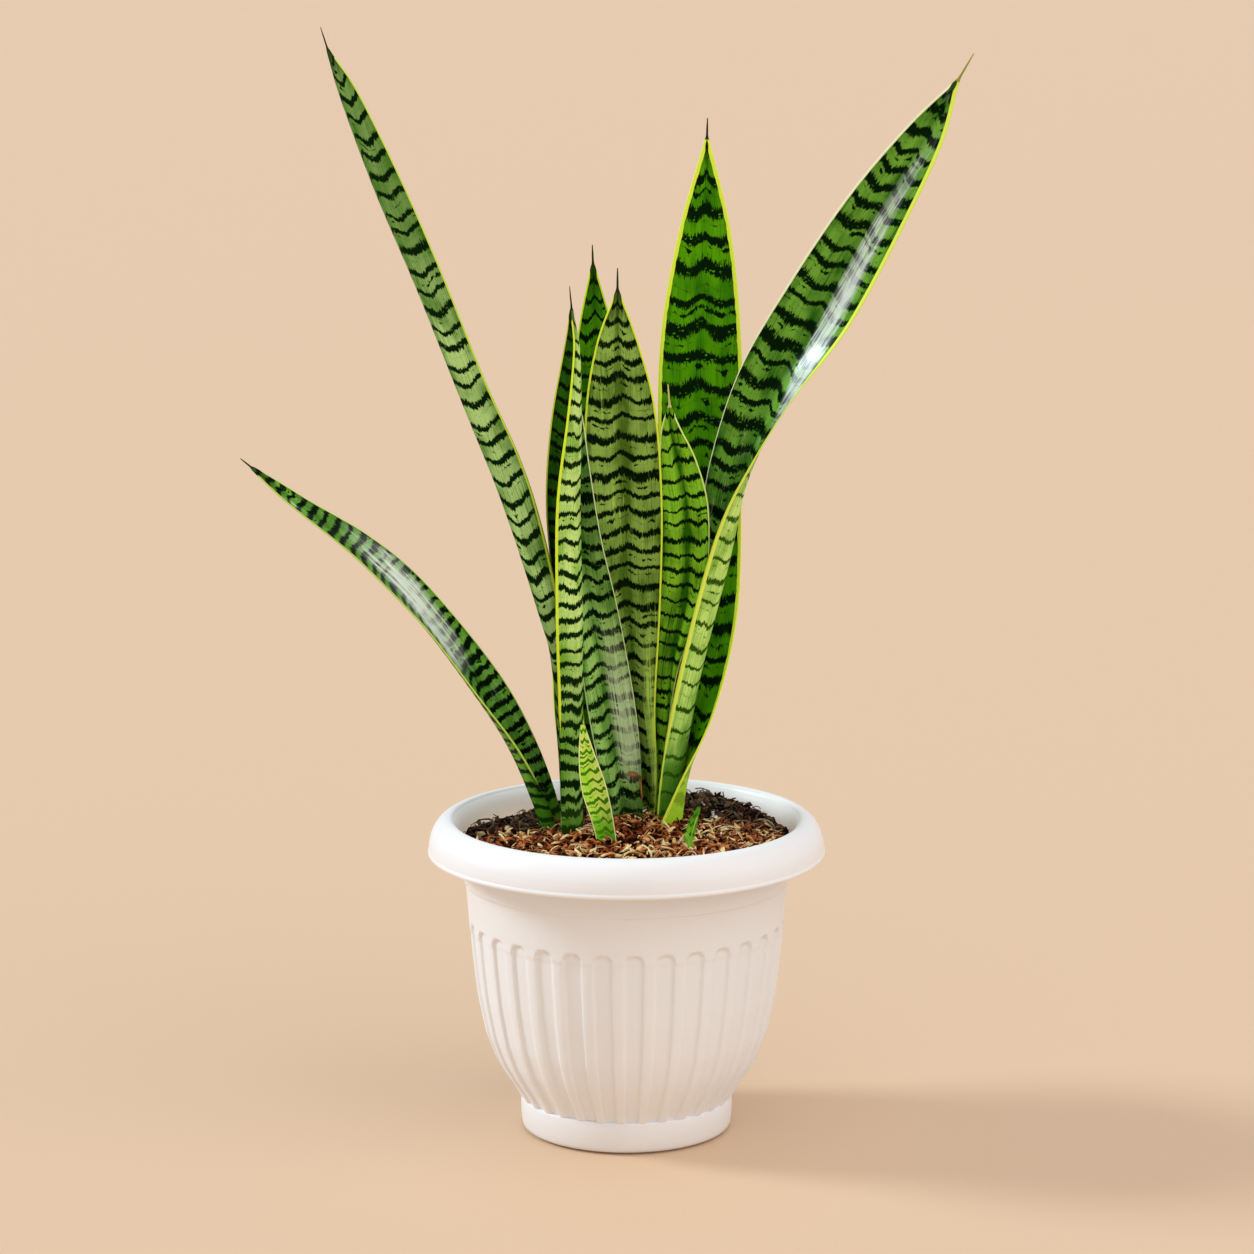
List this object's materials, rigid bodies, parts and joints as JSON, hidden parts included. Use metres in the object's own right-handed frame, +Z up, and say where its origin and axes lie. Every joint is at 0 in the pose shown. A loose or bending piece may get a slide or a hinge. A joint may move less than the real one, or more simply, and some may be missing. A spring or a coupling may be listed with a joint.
{
  "type": "potted snake plant",
  "caption": "Upright snake plant with stiff banded leaves edged in yellow, planted in a fluted white plastic pot with a rolled rim, filled with bark potting mix.",
  "frame": {"origin": "middle of the pot's underside, on the surface it stands on", "axes": "+Z up along the pot's axis, -Y to the front of the plant, +X to the right seen from the front"},
  "size_m": [0.3642, 0.203, 0.5625],
  "materials": {
    "pot_plastic": "satin",
    "potting_mix": "matte",
    "rhizome": "matte",
    "leaf": "satin",
    "young_leaf": "satin"
  },
  "bodies": {
    "root": {"pot": "pot_plastic", "potting_mix": "potting_mix", "rhizome": "rhizome", "leaf_arching_left": "leaf", "leaf_tall_left": "leaf", "leaf_folded_left": "leaf", "leaf_glossy_front": "leaf", "leaf_dark_back": "leaf", "leaf_broad_centre": "leaf", "leaf_wide_back": "leaf", "leaf_small_right": "leaf", "leaf_twisting_right": "leaf", "leaf_young_front": "young_leaf", "pup_leaf_outer": "young_leaf", "pup_leaf_inner": "young_leaf"}
  },
  "joints": []
}
